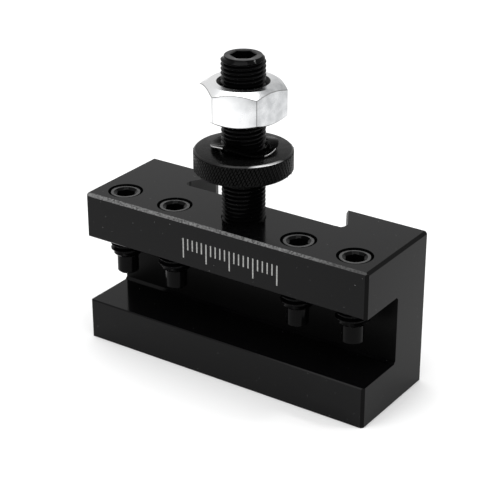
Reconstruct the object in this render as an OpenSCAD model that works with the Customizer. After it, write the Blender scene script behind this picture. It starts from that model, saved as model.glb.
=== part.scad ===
// Turning and facing tool holder for a dovetail quick change tool post.
// Origin: centre of the bottom face of the block. +X runs along the tool slot, +Y points out of the
// dovetail at the back, +Z points up along the height stud. Millimetres.

/* [Holder block] */
// Length of the block, along the tool slot
body_l = 75; // [72:1:120]
// Depth of the block, from the slot side to the dovetail side
body_w = 25.7; // [25:0.1:40]
// Height of the block
body_h = 37.4; // [36:0.1:50]
// Chamfer on the top front edge, and on the top and front edges of the right end
edge_chamfer = 0.65; // [0.2:0.05:1.5]
// Broken edge on the block's other outer edges
edge_break = 0.15; // [0.1:0.05:0.3]
// Chamfer on the lips of the tool slot
lip_chamfer = 0.25; // [0.1:0.05:0.5]

/* [Tool slot] */
// Thickness of the arm below the slot
lower_arm_t = 9.9; // [6:0.1:14]
// Opening of the slot, which takes a 12 mm square shank
slot_open = 16.5; // [14:0.1:17]
// Depth of the slot from the front face
slot_depth = 13.6; // [12:0.1:13.8]
// Relief fillet in the two inner corners of the slot
slot_fillet = 0.6; // [0.2:0.1:1]

/* [Dovetail groove] */
// Distance between the two blunt lips of the groove
dovetail_mouth = 35.9; // [30:0.1:40]
// Depth of the groove from the back face
dovetail_depth = 8.95; // [6:0.05:9]
// Angle between each flank and the back face
dovetail_angle = 60; // [55:1:65]
// Depth of the blunt land on each lip
dovetail_land = 1; // [0.5:0.1:2.5]
// Radius of the two inner corners of the groove
dovetail_fillet = 1.6; // [0.5:0.1:2]
// Sideways place of the groove's middle, from the height stud
dovetail_shift = -0.5; // [-1:0.1:1]

/* [Clamp screws] */
// Distance between the two outer screws
outer_spacing = 61.6; // [58:0.1:62]
// Distance between the two inner screws
inner_spacing = 33.3; // [32:0.1:44]
// Screw centre line, from the front face
screw_inset = 6.1; // [5:0.1:7]
// Thread diameter of a clamp screw, M8 x 1.25
screw_d = 8; // [6:1:8]
// Overall length of a clamp screw
screw_l = 20; // [16:1:25]
// Diameter of the dog point
dog_d = 5; // [4:0.1:5.5]
// Length of the dog point
dog_l = 4.8; // [3:0.1:6]
// Hex socket of a clamp screw, across flats
screw_socket = 4; // [3:0.5:4]
// How far the screw tops sit below the top of the block
screw_drop = 0.2; // [0:0.1:1]

/* [Height stud] */
// Thread diameter of the stud, M10 x 1
stud_d = 10; // [8:1:10]
// Overall length of the stud
stud_l = 48; // [44:1:60]
// How far the stud stands above the block
stud_out = 37.75; // [34:0.25:50]
// Stud axis, from the front face
stud_inset = 9.4; // [9:0.1:10]
// Hex socket in the top of the stud, across flats
stud_socket = 5; // [3:0.5:5]

/* [Nuts and washer] */
// Outer diameter of the knurled thumb nut
thumb_d = 22.1; // [18:0.1:24]
// Thickness of the thumb nut
thumb_t = 5; // [4:0.1:6]
// Gap between the block and the thumb nut
thumb_up = 11.45; // [11.2:0.05:13]
// Outer diameter of the wave washer
washer_d = 14.9; // [14:0.1:18]
// Bore of the wave washer
washer_bore = 10.6; // [10.6:0.1:11.4]
// Thickness of the washer's strip
washer_t = 0.35; // [0.3:0.05:0.8]
// Height of the washer's highest wave
wave_h = 1.9; // [1:0.1:2.2]
// Lock nut, across flats
nut_af = 17; // [15:1:19]
// Thickness of the lock nut
nut_t = 8; // [5:0.1:8]
// Gap between the block and the lock nut
nut_up = 23.9; // [23:0.1:25]

/* [Hidden] */
smooth = 64;                    // facets of a full turn on round features
play = 0.05;                    // radial running clearance on every thread
cut = 1;                        // how far a cutter runs past a face
front_y = -body_w / 2;
back_y = body_w / 2;
screw_y = front_y + screw_inset;
stud_y = front_y + stud_inset;
slot_back_y = front_y + slot_depth;
slot_top_z = lower_arm_t + slot_open;
screw_top_z = body_h - screw_drop;
screw_xs = [-outer_spacing / 2, -inner_spacing / 2, inner_spacing / 2, outer_spacing / 2];
nut_turn = -38.7;               // direction of one corner of the lock nut, in degrees about +Z
stud_turn = 33.8;               // direction of one corner of the stud's hex socket
washer_off = [0.18, 0.12];      // how far the loose washer lies off the stud's axis
wave_mean = 0.37;               // mean height of the washer's underside, as a share of wave_h
waves = [[0.23, -67], [0.21, -109], [0.25, -87]];  // share of wave_h and peak of 1, 2 and 3 waves a turn
wave_steps = 96;                // steps around the wave washer
fillet_steps = 6;               // facets of a groove fillet

oxide = [0.09, 0.09, 0.10];
oxide_gloss = [0.05, 0.05, 0.06];
spring_steel = [0.35, 0.34, 0.33];
zinc = [0.80, 0.82, 0.84];

// Extrudes an outline drawn in Y and Z along X, centred
module along_x(length) {
    translate([-length / 2, 0, 0]) rotate([90, 0, 90]) linear_extrude(length) children();
}

// Extrudes an outline drawn in X and Z along Y, centred
module along_y(length) {
    translate([0, length / 2, 0]) rotate([90, 0, 0]) linear_extrude(length) children();
}

// Rectangle with its lower left corner at p; cuts are its corners' 45 degree cuts, anticlockwise from p
module cut_rect(p, w, h, cuts) {
    translate(p) polygon([
        [cuts[0], 0], [w - cuts[1], 0], [w, cuts[1]], [w, h - cuts[2]],
        [w - cuts[2], h], [cuts[3], h], [0, h - cuts[3]], [0, cuts[0]]]);
}

// The tool slot in side view, with relieved inner corners and chamfered lips
module slot_outline() {
    c = lip_chamfer;
    f = slot_fillet;
    translate([front_y, lower_arm_t]) polygon([
        [-cut, -c - cut], [0, -c], [c, 0], [slot_depth - f, 0], [slot_depth, f],
        [slot_depth, slot_open - f], [slot_depth - f, slot_open],
        [c, slot_open], [0, slot_open + c], [-cut, slot_open + c + cut]]);
}

// The dovetail groove in plan view: blunt lips, slanted flanks, rounded inner corners
module dovetail_outline() {
    lip = dovetail_mouth / 2;
    root = lip + (dovetail_depth - dovetail_land) / tan(dovetail_angle);
    centre = [root - dovetail_fillet / tan(dovetail_angle / 2), dovetail_fillet - dovetail_depth];
    sweep = 180 - dovetail_angle;
    arc = [for (i = [0 : fillet_steps]) let (a = sweep - 90 - i * sweep / fillet_steps)
        centre + dovetail_fillet * [cos(a), sin(a)]];
    half = concat([[lip, cut], [lip, -dovetail_land]], arc);
    mirrored = [for (i = [len(half) - 1 : -1 : 0]) [-half[i][0], half[i][1]]];
    translate([dovetail_shift, back_y]) polygon(concat(half, mirrored));
}

// A threaded hole through the upper arm, as a plain bore
module arm_bore(x, y, d) {
    z_low = slot_top_z - cut;
    translate([x, y, z_low]) cylinder(h = body_h - z_low + cut, d = d + 2 * play, $fn = smooth);
}

// The block: side, plan and front outlines meet, then the threaded holes are cut
module holder_body() {
    b = edge_break;
    c = edge_chamfer;
    color(oxide) difference() {
        intersection() {
            along_x(body_l) difference() {
                cut_rect([front_y, 0], body_w, body_h, [b, b, b, c]);
                slot_outline();
            }
            linear_extrude(body_h) difference() {
                cut_rect([-body_l / 2, front_y], body_l, body_w, [b, c, b, b]);
                dovetail_outline();
            }
            along_y(body_w) cut_rect([-body_l / 2, 0], body_l, body_h, [b, b, c, b]);
        }
        for (x = screw_xs) arm_bore(x, screw_y, screw_d);
        arm_bore(0, stud_y, stud_d);
    }
}

// Hex socket cut downwards from z = 0, with a chamfered mouth and a drill point
module hex_socket(af, depth) {
    corner_d = af / cos(30);
    translate([0, 0, -depth]) cylinder(h = depth + cut, d = corner_d, $fn = 6);
    translate([0, 0, -depth - af / 4]) cylinder(h = af / 4, d1 = 0, d2 = af - 0.2, $fn = smooth);
    translate([0, 0, -0.15]) cylinder(h = 0.3, d1 = corner_d - 0.4, d2 = corner_d + 0.4, $fn = smooth);
}

// One dog point clamp screw: it bears on the tool through its narrow tip
module clamp_screw(x) {
    r = screw_d / 2;
    tip = dog_d / 2;
    point = 0.5;
    thread_start = dog_l + (r - tip) / 2;
    color(oxide_gloss) translate([x, screw_y, screw_top_z - screw_l]) difference() {
        rotate_extrude($fn = smooth) polygon([
            [0, 0], [tip - point, 0], [tip, point], [tip, dog_l], [r, thread_start],
            [r, screw_l - 0.6], [r - 0.6, screw_l], [0, screw_l]]);
        translate([0, 0, screw_l]) hex_socket(screw_socket, 5);
    }
}

// Height stud: screwed into the upper arm, and carries both nuts
module height_stud() {
    r = stud_d / 2;
    taper = 0.85;
    color(oxide_gloss) translate([0, stud_y, body_h + stud_out - stud_l]) difference() {
        rotate_extrude($fn = smooth) polygon([
            [0, 0], [r - taper, 0], [r, taper], [r, stud_l - taper], [r - taper, stud_l], [0, stud_l]]);
        translate([0, 0, stud_l]) rotate([0, 0, stud_turn]) hex_socket(stud_socket, 5.5);
    }
}

// Bore through a nut of thickness t, with a countersink at both ends
module nut_bore(t, sink) {
    r = stud_d / 2 + play;
    rotate_extrude($fn = smooth) polygon([
        [0, -cut], [r + sink + cut, -cut], [r, sink], [r, t - sink], [r + sink + cut, t + cut], [0, t + cut]]);
}

// Knurled thumb nut: its underside rests on top of the tool post and sets the tool's height
module thumb_nut() {
    r = thumb_d / 2;
    c = 0.5;
    color(oxide_gloss) translate([0, stud_y, body_h + thumb_up]) difference() {
        rotate_extrude($fn = smooth) polygon([
            [0, 0], [r - c, 0], [r, c], [r, thumb_t - c], [r - c, thumb_t], [0, thumb_t]]);
        nut_bore(thumb_t, 0.4);
    }
}

// Share of wave_h that n waves a turn give at angle a
function wave_part(n, a) = waves[n - 1][0] * cos(n * (a - waves[n - 1][1]));

// Height of the washer's underside at angle a: three uneven waves
function wave_z(a) = wave_h * (wave_mean + wave_part(1, a) + wave_part(2, a) + wave_part(3, a));

// Wave washer: a thin spring strip between the two nuts
module wave_washer() {
    inner = washer_bore / 2;
    outer = washer_d / 2;
    rim = [[inner, 0], [outer, 0], [outer, washer_t], [inner, washer_t]];
    points = [for (i = [0 : wave_steps - 1], p = rim) let (a = 360 * i / wave_steps)
        [p[0] * cos(a), p[0] * sin(a), p[1] + wave_z(a)]];
    faces = [for (i = [0 : wave_steps - 1], k = [0 : 3]) let (n = (i + 1) % wave_steps, m = (k + 1) % 4)
        [4 * i + k, 4 * i + m, 4 * n + m, 4 * n + k]];
    rest_z = body_h + thumb_up + thumb_t + 0.05;
    color(spring_steel) translate([washer_off[0], stud_y + washer_off[1], rest_z])
        polyhedron(points, [for (f = faces, t = [[f[0], f[1], f[2]], [f[0], f[2], f[3]]]) t]);
}

// Lock nut: jams against the washer and the thumb nut
module lock_nut() {
    corner = nut_af / 2 / cos(30);
    flat = nut_af / 2 - 0.2;
    slope = 0.55;
    color(zinc) translate([0, stud_y, body_h + nut_up]) difference() {
        intersection() {
            rotate([0, 0, nut_turn]) cylinder(h = nut_t, r = corner, $fn = 6);
            rotate_extrude($fn = smooth) polygon([
                [0, 0], [flat, 0], [corner + cut, (corner + cut - flat) * slope],
                [corner + cut, nut_t - (corner + cut - flat) * slope], [flat, nut_t], [0, nut_t]]);
        }
        nut_bore(nut_t, 0.9);
    }
}

holder_body();
height_stud();
thumb_nut();
wave_washer();
lock_nut();
for (i = [1 : 4]) clamp_screw(screw_xs[i - 1]);
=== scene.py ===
import math

import bmesh
import bpy
from mathutils import Matrix, Vector


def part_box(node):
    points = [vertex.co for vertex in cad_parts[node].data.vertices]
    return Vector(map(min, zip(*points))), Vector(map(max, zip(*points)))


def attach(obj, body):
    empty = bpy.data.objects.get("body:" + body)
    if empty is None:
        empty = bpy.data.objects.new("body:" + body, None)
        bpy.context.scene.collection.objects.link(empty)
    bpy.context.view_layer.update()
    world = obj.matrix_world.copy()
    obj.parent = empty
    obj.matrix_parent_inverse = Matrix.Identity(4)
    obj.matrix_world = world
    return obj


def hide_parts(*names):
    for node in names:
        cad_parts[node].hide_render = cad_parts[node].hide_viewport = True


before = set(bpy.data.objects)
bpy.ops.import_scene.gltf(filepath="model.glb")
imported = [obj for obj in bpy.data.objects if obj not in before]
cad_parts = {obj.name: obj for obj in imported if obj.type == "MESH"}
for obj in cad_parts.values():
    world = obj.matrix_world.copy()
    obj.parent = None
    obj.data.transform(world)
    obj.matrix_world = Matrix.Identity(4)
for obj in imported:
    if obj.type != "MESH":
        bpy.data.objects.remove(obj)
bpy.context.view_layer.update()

# Pieces are modelled in millimetres around their own axis, then scaled and set in place
MM = 0.001
STEPS = 72                    # vertices around a turned piece; a hexagon's corners fall on them
CREST_TRIM = 0.1              # how far a thread's crest lies inside its nominal radius
PLAY = 0.05                   # radial clearance of every thread

THREAD_DEPTH = 0.61           # depth of a metric thread, as a share of its pitch
STUD_PITCH = 1.0
SCREW_PITCH = 1.25

HEX_CORNER = 1 / math.cos(math.radians(30))
NUT_FLATS = 17.0
NUT_TURN = math.radians(-38.7)
STUD_TURN = math.radians(33.8)

WAVE_HEIGHT = 1.9
WAVES = ((0.23, -67), (0.21, -109), (0.25, -87))   # share of the height and turn of each wave
BRIGHT_EDGE = ((-152, -93), (-20, 12), (60, 85))   # painted highlights on the strip's edge
BRIGHT_RIM = math.radians(-27)                     # middle of the rim's painted highlight


# ---------------------------------------------------------------- measures of the frame

def span(node):
    """Lowest and highest corner of a CAD node, in millimetres."""
    low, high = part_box(node)
    return low / MM, high / MM


def axis_of(node):
    """Centre of a turned node in plan, its lowest and highest point and its radius, in millimetres."""
    low, high = span(node)
    centre = Vector(((low.x + high.x) / 2, (low.y + high.y) / 2, 0))
    return centre, low.z, high.z, (high.x - low.x) / 2


# ---------------------------------------------------------------- mesh helpers

def circle(radius, z):
    return lambda angle: Vector((radius * math.cos(angle), radius * math.sin(angle), z))


def hex_radius(angle, flats, rounding=0.0):
    """Distance from the centre to a hexagon's outline, with its corners at 0, 60, 120 degrees."""
    off_flat = (angle % math.radians(60)) - math.radians(30)
    return min(flats / 2 / math.cos(off_flat), flats / 2 * HEX_CORNER - rounding)


def hexagon(flats, z):
    def place(angle):
        radius = hex_radius(angle, flats)
        return Vector((radius * math.cos(angle), radius * math.sin(angle), z))
    return place


def is_vert(item):
    return isinstance(item, bmesh.types.BMVert)


def is_edge(item):
    return isinstance(item, bmesh.types.BMEdge)


def angle_of(vert):
    return math.atan2(vert.co.y, vert.co.x)


def first_rim(bm, place):
    """A new circle of edges, each vertex where place(angle) puts it."""
    verts = bmesh.ops.create_circle(bm, segments=STEPS, radius=1)["verts"]
    rim = list({edge for vert in verts for edge in vert.link_edges})
    for vert in verts:
        vert.co = place(angle_of(vert))
    return rim


def grow(bm, rim, place):
    """Extrudes a rim of edges, and puts each new vertex where place(angle) says."""
    made = bmesh.ops.extrude_edge_only(bm, edges=rim)["geom"]
    new = {item for item in made if is_vert(item)}
    for vert in new:
        vert.co = place(angle_of(vert))
    return [item for item in made if is_edge(item) and all(vert in new for vert in item.verts)]


def grow_all(bm, rim, places):
    for place in places:
        rim = grow(bm, rim, place)
    return rim


def cap(bm, rim):
    bmesh.ops.edgeloop_fill(bm, edges=rim)


def bridge(bm, rim, other):
    bmesh.ops.bridge_loops(bm, edges=rim + other)


def rim_at(bm, z, tolerance=0.01):
    """The open edges that lie at one height."""
    return [edge for edge in bm.edges
            if edge.is_boundary and all(abs(vert.co.z - z) < tolerance for vert in edge.verts)]


def turned_ring(places):
    """A closed ring such as a nut or washer: rims from the bore, round the outside and back."""
    bm = bmesh.new()
    first = first_rim(bm, places[0])
    last = grow_all(bm, first, places[1:])
    bridge(bm, first, last)
    return bm


def thread(bm, crest, pitch, low, high):
    """A right-handed screw thread from low to high, open at both ends."""
    root = crest - THREAD_DEPTH * pitch
    flanks = [(root, 0.06), (crest, 0.43), (crest, 0.57), (root, 0.94), (root, 1.06)]
    start = low - 2 * pitch
    verts = [bm.verts.new((radius, 0, start + share * pitch)) for radius, share in flanks]
    edges = [bm.edges.new(pair) for pair in zip(verts, verts[1:])]
    bmesh.ops.spin(bm, geom=verts + edges, axis=(0, 0, 1), dvec=(0, 0, pitch / STEPS),
                   angle=math.tau, steps=STEPS)
    turn = list(bm.verts) + list(bm.edges) + list(bm.faces)
    for count in range(1, math.ceil((high - low) / pitch) + 3):
        copy = bmesh.ops.duplicate(bm, geom=turn)["geom"]
        bmesh.ops.translate(bm, vec=(0, 0, count * pitch), verts=[item for item in copy if is_vert(item)])
    bmesh.ops.remove_doubles(bm, verts=bm.verts, dist=0.02 * pitch)
    for z, outward in ((low, -1), (high, 1)):
        geom = list(bm.verts) + list(bm.edges) + list(bm.faces)
        bmesh.ops.bisect_plane(bm, geom=geom, dist=0.001, plane_co=(0, 0, z),
                               plane_no=(0, 0, outward), clear_outer=True)


def trim(bm, reach):
    """Turns the piece down, so that no vertex is further from the axis than reach(z)."""
    for vert in bm.verts:
        radius = math.hypot(vert.co.x, vert.co.y)
        most = reach(vert.co.z)
        if radius > most:
            vert.co.x *= most / radius
            vert.co.y *= most / radius


def socket(bm, rim, z, flats, depth, mouth):
    """Closes a screw's flat top at height z with a hex socket that has a conical mouth."""
    corner = flats / 2 * HEX_CORNER
    drill_radius, drill_tip, drill_drop = flats * 0.4, 0.2, flats * 0.25
    rim = grow_all(bm, rim, [
        circle(corner + mouth, z), hexagon(flats, z - mouth), hexagon(flats, z - depth),
        circle(drill_radius, z - depth), circle(drill_tip, z - depth - drill_drop)])
    cap(bm, rim)


def paint_level(bm, z, number):
    """Gives the flat faces at height z their own material."""
    for face in bm.faces:
        if all(abs(vert.co.z - z) < 0.01 for vert in face.verts):
            face.material_index = number


def shade(bm, sharp=math.radians(32)):
    """Smooth faces, with creases where two faces meet at more than sharp."""
    for face in bm.faces:
        face.smooth = True
    for edge in bm.edges:
        edge.smooth = len(edge.link_faces) == 2 and edge.calc_face_angle(0) < sharp


def finished(name, bm, materials, body, centre=Vector((0, 0, 0)), turn=0.0, node=None, outward=True):
    """Makes the piece an object: in metres, in its place, riding on its body."""
    if outward:
        bmesh.ops.recalc_face_normals(bm, faces=bm.faces)
    place = Matrix.Scale(MM, 4) @ Matrix.Translation(centre) @ Matrix.Rotation(turn, 4, "Z")
    bmesh.ops.transform(bm, matrix=place, verts=bm.verts)
    mesh = bpy.data.meshes.new(name)
    bm.to_mesh(mesh)
    bm.free()
    piece = bpy.data.objects.new(name, mesh)
    bpy.context.scene.collection.objects.link(piece)
    for material in materials:
        mesh.materials.append(material)
    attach(piece, body)
    if node:
        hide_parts(node)
    return piece


# ---------------------------------------------------------------- materials

class Finish:
    """A material with a Principled shader, and short calls for the nodes that vary it."""

    def __init__(self, name, colour, metallic, roughness, ior=1.5):
        self.material = bpy.data.materials.new(name)
        self.material.use_nodes = True
        self.nodes = self.material.node_tree.nodes
        self.links = self.material.node_tree.links
        self.shader = self.nodes["Principled BSDF"]
        self.shader.inputs["Base Color"].default_value = (*colour, 1)
        self.shader.inputs["Metallic"].default_value = metallic
        self.shader.inputs["Roughness"].default_value = roughness
        self.shader.inputs["IOR"].default_value = ior
        self.place = self.nodes.new("ShaderNodeTexCoord").outputs["Object"]

    def stretched(self, scale):
        mapping = self.nodes.new("ShaderNodeMapping")
        mapping.inputs["Scale"].default_value = scale
        self.links.new(self.place, mapping.inputs["Vector"])
        return mapping.outputs["Vector"]

    def noise(self, scale, detail=3.0, where=None):
        noise = self.nodes.new("ShaderNodeTexNoise")
        noise.inputs["Scale"].default_value = scale
        noise.inputs["Detail"].default_value = detail
        self.links.new(where or self.place, noise.inputs["Vector"])
        return noise.outputs["Fac"]

    def ramp(self, value, low, high, to_low=0.0, to_high=1.0):
        """Maps value from low..high to to_low..to_high, and holds it at both ends."""
        node = self.nodes.new("ShaderNodeMapRange")
        node.inputs["From Min"].default_value = low
        node.inputs["From Max"].default_value = high
        node.inputs["To Min"].default_value = to_low
        node.inputs["To Max"].default_value = to_high
        self.links.new(value, node.inputs["Value"])
        return node.outputs["Result"]

    def blend(self, share, colour, other):
        """Mixes two paints, each a colour or another node's output."""
        node = self.nodes.new("ShaderNodeMix")
        node.data_type = "RGBA"
        for number, paint in ((6, colour), (7, other)):
            if isinstance(paint, tuple):
                node.inputs[number].default_value = (*paint, 1)
            else:
                self.links.new(paint, node.inputs[number])
        self.links.new(share, node.inputs["Factor"])
        return node.outputs[2]

    def drive(self, value, socket_name):
        self.links.new(value, self.shader.inputs[socket_name])

    def bump(self, height, strength, distance):
        node = self.nodes.new("ShaderNodeBump")
        node.inputs["Strength"].default_value = strength
        node.inputs["Distance"].default_value = distance
        self.links.new(height, node.inputs["Height"])
        self.links.new(node.outputs["Normal"], self.shader.inputs["Normal"])


OXIDE_BLACK = (0.0018, 0.0018, 0.002)


def ground_black_oxide(name, ior):
    """Satin black oxide over ground steel, with the grinder's fine lines along the block.

    A lower ior gives a darker face.
    """
    finish = Finish(name, OXIDE_BLACK, 0.0, 0.15, ior=ior)
    lines = finish.noise(1.0, detail=6, where=finish.stretched((60, 5200, 5200)))
    cloud = finish.noise(140, detail=4)
    specks = finish.noise(2600, detail=1)
    finish.drive(finish.ramp(cloud, 0.3, 0.7, 0.1, 0.16), "Roughness")
    finish.drive(finish.blend(finish.ramp(specks, 0.8, 0.84), OXIDE_BLACK, (0.3, 0.3, 0.3)), "Base Color")
    finish.bump(lines, 0.05, 0.00002)
    return finish.material


def worn_chamfer_highlight():
    """Chamfer whose oxide is rubbed through to grey steel in small spots, which also paint a highlight on it,
    fading out towards the right end.
    """
    finish = Finish("worn chamfer highlight", OXIDE_BLACK, 0.35, 0.45, ior=1.4)
    grain = finish.noise(2200, detail=5)
    worn_highlit = finish.blend(finish.ramp(grain, 0.35, 0.62), (0.03, 0.03, 0.03), (0.17, 0.17, 0.17))
    along = finish.nodes.new("ShaderNodeSeparateXYZ")
    finish.links.new(finish.place, along.inputs[0])
    share = finish.ramp(along.outputs["X"], 0.012, 0.036, 0, 0.85)
    finish.drive(finish.blend(share, worn_highlit, (0.02, 0.02, 0.02)), "Base Color")
    return finish.material


def milled_oxide_painted_shade():
    """Oxide in painted shade: darker on the right end's milled chamfers and the slot's back wall."""
    finish = Finish("milled oxide in painted shade", (0.003, 0.003, 0.003), 0.0, 0.35, ior=1.13)
    finish.bump(finish.noise(1800, detail=3), 0.05, 0.00002)
    return finish.material


def groove_oxide_painted_light():
    """Grey oxide in painted light, lighter than the block's, with bumps where the dovetail cutter has left a
    coarser face.
    """
    finish = Finish("groove oxide in painted light", (0.035, 0.035, 0.035), 0.0, 0.4, ior=1.42)
    lines = finish.noise(1.0, detail=4, where=finish.stretched((300, 300, 4000)))
    finish.bump(lines, 0.1, 0.00003)
    return finish.material


def rubbed_steel():
    """Rubbed oxide at the groove's mouth and on the screws' ends."""
    finish = Finish("rubbed steel", (0.09, 0.09, 0.09), 0.2, 0.35, ior=1.4)
    grain = finish.noise(2400, detail=4)
    rubbed = finish.ramp(grain, 0.35, 0.65)
    finish.drive(finish.blend(rubbed, (0.02, 0.02, 0.02), (0.06, 0.06, 0.06)), "Base Color")
    return finish.material


def turned_black_oxide():
    """Glossy oiled black oxide on turned steel."""
    finish = Finish("turned black oxide", (0.002, 0.002, 0.0022), 0.0, 0.12, ior=1.28)
    cloud = finish.noise(500, detail=4)
    lines = finish.noise(1.0, detail=3, where=finish.stretched((300, 300, 9000)))
    finish.drive(finish.ramp(cloud, 0.3, 0.7, 0.08, 0.18), "Roughness")
    finish.bump(lines, 0.04, 0.00001)
    return finish.material


def oiled_thread():
    """Deep black, oily oxide on threads and points."""
    finish = Finish("oiled thread", (0.0015, 0.0015, 0.0016), 0.0, 0.12, ior=1.14)
    finish.drive(finish.ramp(finish.noise(500, detail=4), 0.3, 0.7, 0.08, 0.18), "Roughness")
    return finish.material


def knurled_oxide():
    """Duller oxide on the pressed knurl."""
    finish = Finish("knurled oxide", (0.0025, 0.0025, 0.0025), 0.0, 0.25, ior=1.17)
    finish.drive(finish.ramp(finish.noise(500, detail=4), 0.3, 0.7, 0.2, 0.35), "Roughness")
    return finish.material


def rim_painted_highlight():
    """The thumb nut's upper rim: black oxide, with a highlight painted on one side."""
    finish = Finish("rim painted highlight", (0.01, 0.01, 0.01), 0.7, 0.3)
    toward = finish.nodes.new("ShaderNodeVectorMath")
    toward.operation = "DOT_PRODUCT"
    toward.inputs[1].default_value = (math.cos(BRIGHT_RIM), math.sin(BRIGHT_RIM), 0)
    finish.links.new(finish.place, toward.inputs[0])
    fades_from, full_from = 0.0115, 0.0124
    # share of the rim's painted highlight, full towards BRIGHT_RIM
    rubbed = finish.ramp(toward.outputs["Value"], fades_from, full_from)
    finish.drive(finish.blend(rubbed, (0.008, 0.008, 0.008), (0.5, 0.5, 0.5)), "Base Color")
    return finish.material


def spring_black():
    """Blackened, polished spring strip."""
    finish = Finish("spring black", (0.001, 0.001, 0.001), 0.0, 0.2, ior=1.07)
    cloud = finish.noise(700, detail=3)
    finish.drive(finish.ramp(cloud, 0.3, 0.7, 0.15, 0.3), "Roughness")
    return finish.material


def edge_painted_highlight():
    """Painted highlight: bright steel on the spring strip's sheared edge, put only where the edge catches the
    light.
    """
    finish = Finish("strip edge painted highlight", (0.55, 0.55, 0.55), 0.9, 0.3)
    cloud = finish.noise(900, detail=3)
    finish.drive(finish.ramp(cloud, 0.3, 0.7, 0.22, 0.4), "Roughness")
    return finish.material


def bright_zinc():
    """Bright zinc plate, clouded, and painted duller on its right side."""
    finish = Finish("bright zinc", (0.93, 0.93, 0.93), 1.0, 0.25)
    cloud = finish.noise(220, detail=5)
    plate = finish.blend(finish.ramp(cloud, 0.3, 0.75), (1.0, 1.0, 1.0), (0.9, 0.91, 0.92))
    side = finish.nodes.new("ShaderNodeSeparateXYZ")
    finish.links.new(finish.place, side.inputs[0])
    duller = finish.ramp(side.outputs["X"], 0.0005, 0.0075, 0, 0.85)
    patches = finish.ramp(finish.noise(420, detail=4), 0.35, 0.65)
    dull = finish.blend(patches, (0.58, 0.59, 0.6), (0.38, 0.39, 0.4))
    finish.drive(finish.blend(duller, plate, dull), "Base Color")
    finish.drive(finish.ramp(cloud, 0.3, 0.7, 0.2, 0.34), "Roughness")
    finish.bump(finish.noise(1500, detail=4), 0.05, 0.00002)
    return finish.material


def zinc_edge_painted_shade():
    """Painted shade: a duller grey plate along the nut's edges."""
    return Finish("zinc edge painted shade", (0.2, 0.2, 0.2), 0.9, 0.45).material


def nut_bore_painted_shade():
    """Painted shade: dark grey in the nut's countersinks and bore, where the hollow lies in shade."""
    return Finish("nut bore painted shade", (0.01, 0.01, 0.01), 0.0, 0.4, ior=1.2).material


def etched_grey():
    finish = Finish("etched grey", (0.32, 0.32, 0.31), 0.2, 0.6)
    grain = finish.noise(3000, detail=3)
    etched = finish.ramp(grain, 0.3, 0.7)
    finish.drive(finish.blend(etched, (0.26, 0.26, 0.25), (0.4, 0.4, 0.39)), "Base Color")
    return finish.material


def white_sweep():
    return Finish("white sweep", (0.93, 0.93, 0.93), 0.0, 0.7).material


GROUND = ground_black_oxide("ground black oxide", 1.22)
# The right end face gets the ground oxide with a lower ior: a copy that paints shade on it.
END_SHADED = ground_black_oxide("end face oxide in painted shade", 1.15)
WORN_HIGHLIT = worn_chamfer_highlight()
MILLED_SHADED = milled_oxide_painted_shade()
GROOVE = groove_oxide_painted_light()
RUBBED = rubbed_steel()
TURNED = turned_black_oxide()
THREAD = oiled_thread()
KNURL = knurled_oxide()
RIM = rim_painted_highlight()
SPRING = spring_black()
EDGE_HIGHLIGHT = edge_painted_highlight()
ZINC = bright_zinc()
ZINC_EDGE_SHADE = zinc_edge_painted_shade()
BORE_SHADE = nut_bore_painted_shade()
ETCHED = etched_grey()


# ---------------------------------------------------------------- the holder block

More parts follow.
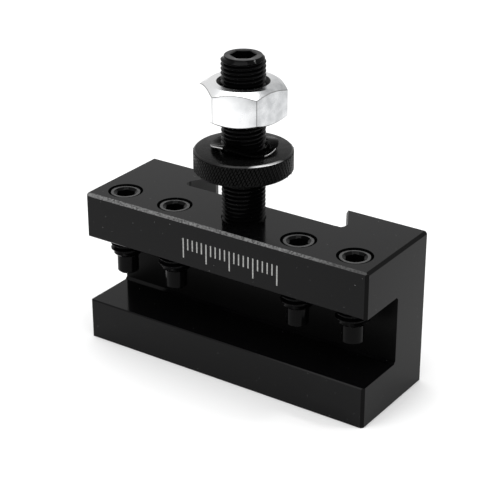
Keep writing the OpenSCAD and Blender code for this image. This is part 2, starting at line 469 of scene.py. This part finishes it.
def holder_block():
    """The block, with worn and milled chamfers and a milled dovetail groove; a painted highlight lies on the
    top front chamfer, painted shade on the right end, its chamfers and the slot's back wall, and painted
    light in the groove.
    """
    low, high = span("holder_body")
    worn_left, worn_right, mouth_chamfer, eased = 0.7, 0.45, 0.45, 0.08
    ground, worn_highlit, milled_shaded, groove, rubbed, end = range(6)
    bm = bmesh.new()
    bm.from_mesh(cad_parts["holder_body"].data)
    bmesh.ops.scale(bm, vec=(1 / MM, 1 / MM, 1 / MM), verts=bm.verts)
    bmesh.ops.remove_doubles(bm, verts=bm.verts, dist=0.002)
    bmesh.ops.dissolve_limit(bm, angle_limit=math.radians(0.5), verts=bm.verts, edges=bm.edges)

    def faces_toward(face, *way):
        return face.normal.dot(Vector(way).normalized()) > 0.98

    worn_verts = set()
    for face in bm.faces:
        middle = face.calc_center_median()
        in_groove = abs(face.normal.z) < 0.1 and 3.5 < middle.y < high.y - 0.01 and abs(middle.x) < 21
        # the top front chamfer: worn spots that also paint a highlight
        if faces_toward(face, 0, -1, 1) and middle.z > high.z - 1:
            face.material_index = worn_highlit
            worn_verts.update(face.verts)
        # the right end's chamfers: painted shade
        elif faces_toward(face, 1, 0, 1) and middle.z > high.z - 1:
            face.material_index = milled_shaded
        elif faces_toward(face, 1, -1, 0) and middle.x > high.x - 1:
            face.material_index = milled_shaded
        # the groove's walls: painted light
        elif in_groove:
            face.material_index = groove
        # the right end face: painted shade
        elif face.normal.x > 0.99 and middle.x > high.x - 0.01:
            face.material_index = end
        # the slot's back wall: painted shade
        elif face.normal.y < -0.99 and middle.y > low.y + 5:
            face.material_index = milled_shaded
        else:
            face.material_index = ground
    for vert in worn_verts:
        along = (vert.co.x - low.x) / (high.x - low.x)
        size = worn_left + (worn_right - worn_left) * along
        if abs(vert.co.z - high.z) < 0.02:
            vert.co.y = low.y + size
        elif abs(vert.co.y - low.y) < 0.02:
            vert.co.z = high.z - size

    mouth_edges = [edge for edge in bm.edges
                   if all(vert.co.z > high.z - 0.01 and 3.95 < vert.co.y < high.y - 0.9 and vert.co.x > 15
                          for vert in edge.verts)
                   and any(face.material_index == groove for face in edge.link_faces)]
    bmesh.ops.bevel(bm, geom=mouth_edges, offset=mouth_chamfer, offset_type="OFFSET", segments=1, profile=0.5,
                    affect="EDGES", material=rubbed, clamp_overlap=False)
    # Short edges at the groove's mouth clamp this bevel to no width, so these edges stay sharp
    long_edges = [edge for edge in bm.edges
                  if edge.calc_length() > 3 and edge.calc_face_angle(0) > math.radians(20)]
    bmesh.ops.bevel(bm, geom=long_edges, offset=eased, offset_type="OFFSET", segments=2, profile=0.5,
                    affect="EDGES", material=-1, clamp_overlap=True)
    for face in bm.faces:
        face.smooth = face.calc_area() < 3
    for edge in bm.edges:
        edge.smooth = edge.calc_face_angle(0) < math.radians(40)
    return finished("holder_block", bm, [GROUND, WORN_HIGHLIT, MILLED_SHADED, GROOVE, RUBBED, END_SHADED], "holder",
                    node="holder_body", outward=False)


# ---------------------------------------------------------------- threaded pieces

def height_stud():
    """Fine-threaded stud, chamfered at both ends, with a hex socket in its flat top."""
    centre, low, high, radius = axis_of("height_stud")
    crest, end, taper = radius - CREST_TRIM, radius - 0.88, 0.85
    bm = bmesh.new()
    thread(bm, crest, STUD_PITCH, low, high)
    trim(bm, lambda z: end + (crest - end) * min(1.0, (high - z) / taper, (z - low) / taper))
    top = first_rim(bm, circle(end - 0.1, high))
    bridge(bm, rim_at(bm, high), top)
    socket(bm, top, high, 5.0, 5.5, 0.07)
    bottom = first_rim(bm, circle(end - 0.1, low))
    bridge(bm, rim_at(bm, low), bottom)
    cap(bm, bottom)
    paint_level(bm, high, 1)
    shade(bm)
    return finished("threaded_stud", bm, [THREAD, TURNED], "holder",
                    centre, STUD_TURN, node="height_stud")


def clamp_screws():
    """Four alike dog point set screws, each with a hex socket."""
    _, low, high, radius = axis_of("clamp_screw_1")
    dog_radius, dog_length, point = 2.5, 4.6, 0.3
    neck = low + dog_length
    crest, top_radius, bottom_radius = radius - CREST_TRIM, radius - 0.62, radius - 0.95
    top_taper, bottom_taper, face_radius = 0.5, 1.0, 3.05
    bm = bmesh.new()
    thread(bm, crest, SCREW_PITCH, neck, high)
    trim(bm, lambda z: min(top_radius + (crest - top_radius) * min(1.0, (high - z) / top_taper),
                           bottom_radius + (crest - bottom_radius) * min(1.0, (z - neck) / bottom_taper)))
    top = first_rim(bm, circle(face_radius, high))
    bridge(bm, rim_at(bm, high), top)
    socket(bm, top, high, 4.0, 5.0, 0.45)
    shoulder = first_rim(bm, circle(dog_radius + 0.2, neck))
    bridge(bm, rim_at(bm, neck), shoulder)
    tip = grow_all(bm, shoulder, [
        circle(dog_radius, neck - 0.2), circle(dog_radius, low + point), circle(dog_radius - point, low)])
    cap(bm, tip)
    paint_level(bm, high, 1)
    shade(bm)
    for number in range(1, 5):
        node = f"clamp_screw_{number}"
        finished(f"dog_point_screw_{number}", bm.copy(), [THREAD, RUBBED], node,
                 axis_of(node)[0], node=node)
    bm.free()


# ---------------------------------------------------------------- nuts and washer

def knurled_band(bm, radius, low, high, depth, land=0.12, falling=72, rising=104):
    """A knurled cylinder, open above and below: steep falling grooves cross finer rising ones."""
    around = math.tau * (radius - depth)
    first, second = around / falling, around / rising
    slope, other = math.tan(math.radians(22)), math.tan(math.radians(30))
    spare_cells = 16
    cells = max(falling, rising) + spare_cells
    made = bmesh.ops.create_grid(bm, x_segments=cells, y_segments=cells, size=cells / 2)["verts"]
    skew = Matrix(((first * other, second * slope, 0, 0), (first, -second, 0, 0),
                   (0, 0, 1, 0), (0, 0, 0, 1)))
    for row in (0, 1):
        skew[row] = [value / (slope + other) for value in skew[row]]
    place = Matrix.Translation((around / 2, (low + high) / 2, 0)) @ skew
    bmesh.ops.transform(bm, matrix=place, verts=made)
    for co, no in (((0, 0, 0), (-1, 0, 0)), ((around, 0, 0), (1, 0, 0)),
                   ((0, low, 0), (0, -1, 0)), ((0, high, 0), (0, 1, 0))):
        geom = list(bm.verts) + list(bm.edges) + list(bm.faces)
        bmesh.ops.bisect_plane(bm, geom=geom, dist=0.0005, plane_co=co, plane_no=no, clear_outer=True)
    for vert in bm.verts:
        vert.co = circle(radius - depth, vert.co.y)(vert.co.x / around * math.tau)
    bmesh.ops.remove_doubles(bm, verts=bm.verts, dist=0.005)
    seam = [edge for edge in bm.edges
            if len(edge.link_faces) == 2 and all(abs(v.co.y) < 0.001 and v.co.x > 0 for v in edge.verts)]
    bmesh.ops.dissolve_edges(bm, edges=seam, use_verts=False)
    bmesh.ops.recalc_face_normals(bm, faces=bm.faces)
    bmesh.ops.inset_individual(bm, faces=bm.faces, thickness=land, depth=depth, use_even_offset=True)


def thumb_nut():
    """Round thumb nut with a knurled rim and a polished top."""
    centre, low, high, radius = axis_of("thumb_nut")
    bore = axis_of("height_stud")[3] - CREST_TRIM + PLAY
    chamfer, sink, depth = 0.4, 0.4, 0.18
    bm = bmesh.new()
    knurled_band(bm, radius, low + chamfer, high - chamfer, depth)
    for face in bm.faces:
        face.material_index = 1
    lower, upper = rim_at(bm, low + chamfer), rim_at(bm, high - chamfer)
    bottom = first_rim(bm, circle(radius - depth, low + chamfer * 0.8))
    bridge(bm, lower, bottom)
    bottom = grow_all(bm, bottom, [
        circle(radius - chamfer, low + 0.08), circle(radius - chamfer - 0.08, low),
        circle(bore + sink, low), circle(bore, low + sink)])
    top = first_rim(bm, circle(radius - depth * 0.5, high - chamfer * 0.8))
    bridge(bm, upper, top)
    top = grow_all(bm, top, [
        circle(radius - 0.4, high - 0.03), circle(radius - 0.5, high),
        circle(bore + sink, high), circle(bore, high - sink)])
    bridge(bm, bottom, top)
    # the upper rim's faces take the material with the painted highlight
    for face in bm.faces:
        middle = face.calc_center_median()
        if high - 0.3 < middle.z < high - 0.01 and middle.xy.length > radius - 1:
            face.material_index = 2
    shade(bm)
    return finished("knurled_thumb_nut", bm, [TURNED, KNURL, RIM], "thumb_nut",
                    centre, node="thumb_nut")


def wave(angle):
    """Height of the washer's underside over its mean level."""
    return WAVE_HEIGHT * sum(share * math.cos(count * (angle - math.radians(turn)))
                             for count, (share, turn) in enumerate(WAVES, start=1))


def wave_washer():
    """Thin spring strip bent into three uneven waves."""
    centre, low, _, radius = axis_of("wave_washer")
    thickness, ease, inner = 0.35, 0.05, 5.3
    bm = turned_ring([
        circle(inner, ease), circle(inner, thickness - ease), circle(inner + ease, thickness),
        circle(radius - ease, thickness), circle(radius, thickness - ease), circle(radius, ease),
        circle(radius - ease, 0), circle(inner + ease, 0)])
    lowest = min(wave(angle_of(vert)) for vert in bm.verts)
    for vert in bm.verts:
        vert.co.z += low + wave(angle_of(vert)) - lowest
    for face in bm.faces:
        # edge faces within BRIGHT_EDGE take the painted highlight
        middle = face.calc_center_median()
        turn = math.degrees(math.atan2(middle.y, middle.x))
        shines = any(start < turn < end for start, end in BRIGHT_EDGE)
        face.material_index = 1 if shines and middle.xy.length > radius - ease * 0.9 else 0
    shade(bm, math.radians(50))
    return finished("wave_washer_strip", bm, [SPRING, EDGE_HIGHLIGHT], "washer",
                    centre, node="wave_washer")


def lock_nut():
    """Plated hex nut, chamfered at both ends, with eased edges painted grey and a countersunk bore painted
    dark, both as painted shade.
    """
    centre, low, high, _ = axis_of("lock_nut")
    bore = axis_of("height_stud")[3] - CREST_TRIM + PLAY
    sink, (flat, slope), (low_flat, low_slope) = 0.9, (7.6, 0.62), (8.1, 0.6)

    def rim(side):
        """Where the chamfer cone at one end meets the hexagon's sides."""
        def place(angle):
            radius = hex_radius(angle, NUT_FLATS, 0.1)
            z = high - (radius - flat) * slope if side > 0 else low + (radius - low_flat) * low_slope
            return Vector((radius * math.cos(angle), radius * math.sin(angle), z))
        return place

    bm = turned_ring([
        circle(bore, low + sink), circle(bore + sink, low), circle(low_flat, low), rim(-1),
        rim(1), circle(flat, high), circle(bore + sink, high), circle(bore, high - sink)])
    for face in bm.faces:
        # the countersinks and bore: painted shade
        face.material_index = 2 if face.calc_center_median().xy.length < bore + sink * 0.9 else 0
    bm.normal_update()
    outer_edges = [edge for edge in bm.edges
                   if edge.calc_face_angle(0) > math.radians(25)
                   and all(vert.co.xy.length > low_flat + 0.3 for vert in edge.verts)]
    # the eased edges take the grey of painted shade
    bmesh.ops.bevel(bm, geom=outer_edges, offset=0.1, offset_type="OFFSET", segments=2, profile=0.5,
                    affect="EDGES", material=1, clamp_overlap=True)
    shade(bm, math.radians(25))
    return finished("hex_lock_nut", bm, [ZINC, ZINC_EDGE_SHADE, BORE_SHADE], "lock_nut",
                    centre, NUT_TURN, node="lock_nut")


# ---------------------------------------------------------------- etched mark

def gauge_mark():
    """Etched graduations on the front of the upper arm."""
    low, high = span("holder_body")
    count, spacing, tall, short, long_every = 21, 1.25, 4.8, 2.7, 5
    middle, line, thick, proud = Vector((2.6, 0, 30.8)), 0.32, 0.2, 0.012
    bm = bmesh.new()
    for tick in range(count):
        height = tall if tick % long_every == 0 else short
        x = middle.x + (tick - (count - 1) / 2) * spacing
        made = bmesh.ops.create_cube(bm, size=1)["verts"]
        bmesh.ops.scale(bm, vec=(line, thick, height), verts=made)
        y, z = low.y + thick / 2 - proud, middle.z + tall / 2 - height / 2
        bmesh.ops.translate(bm, vec=(x, y, z), verts=made)
    return finished("etched_graduations", bm, [ETCHED], "holder")


# ---------------------------------------------------------------- stage, lights and camera

CAMERA_AZIMUTH = math.radians(34.3)
CAMERA_ELEVATION = math.radians(25.43)
CAMERA_DISTANCE = 359.5
CAMERA_TARGET = Vector((-2.16, 2.22, 26.39))
CAMERA_LENS = 113.04


def direction(azimuth, elevation):
    """Unit vector from the object towards a viewer; azimuth 0 is in front, at -Y."""
    return Vector((math.sin(azimuth) * math.cos(elevation),
                   -math.cos(azimuth) * math.cos(elevation), math.sin(elevation)))


def camera():
    data = bpy.data.cameras.new("camera")
    data.lens = CAMERA_LENS
    data.clip_start = 0.01
    seen = bpy.data.objects.new("camera", data)
    back = direction(CAMERA_AZIMUTH, CAMERA_ELEVATION)
    seen.location = (CAMERA_TARGET + back * CAMERA_DISTANCE) * MM
    seen.rotation_euler = back.to_track_quat("Z", "Y").to_euler()
    bpy.context.scene.collection.objects.link(seen)
    bpy.context.scene.camera = seen


def softbox(name, azimuth, elevation, distance, size, power):
    """A square area light that faces the object."""
    data = bpy.data.lights.new(name, "AREA")
    data.size = size
    data.energy = power
    light = bpy.data.objects.new(name, data)
    back = direction(math.radians(azimuth), math.radians(elevation))
    light.location = Vector((0, 0, 0.03)) + back * distance
    light.rotation_euler = back.to_track_quat("Z", "Y").to_euler()
    bpy.context.scene.collection.objects.link(light)


def stage():
    """A plain pale floor and a soft even studio."""
    bm = bmesh.new()
    bmesh.ops.create_grid(bm, x_segments=1, y_segments=1, size=3)
    mesh = bpy.data.meshes.new("floor")
    bm.to_mesh(mesh)
    bm.free()
    mesh.materials.append(white_sweep())
    floor = bpy.data.objects.new("floor", mesh)
    bpy.context.scene.collection.objects.link(floor)
    world = bpy.data.worlds.new("studio")
    world.use_nodes = True
    background = world.node_tree.nodes["Background"]
    background.inputs["Color"].default_value = (1, 1, 1, 1)
    background.inputs["Strength"].default_value = 0.74
    bpy.context.scene.world = world
    softbox("overhead", 0, 85, 1.2, 1.0, 8.5)
    softbox("key", -20, 50, 0.9, 0.5, 1.5)
    softbox("glint", 117, 49, 0.9, 0.1, 1)
    bpy.context.scene.view_settings.view_transform = "Standard"


camera()
stage()
holder_block()
height_stud()
clamp_screws()
thumb_nut()
wave_washer()
lock_nut()
gauge_mark()
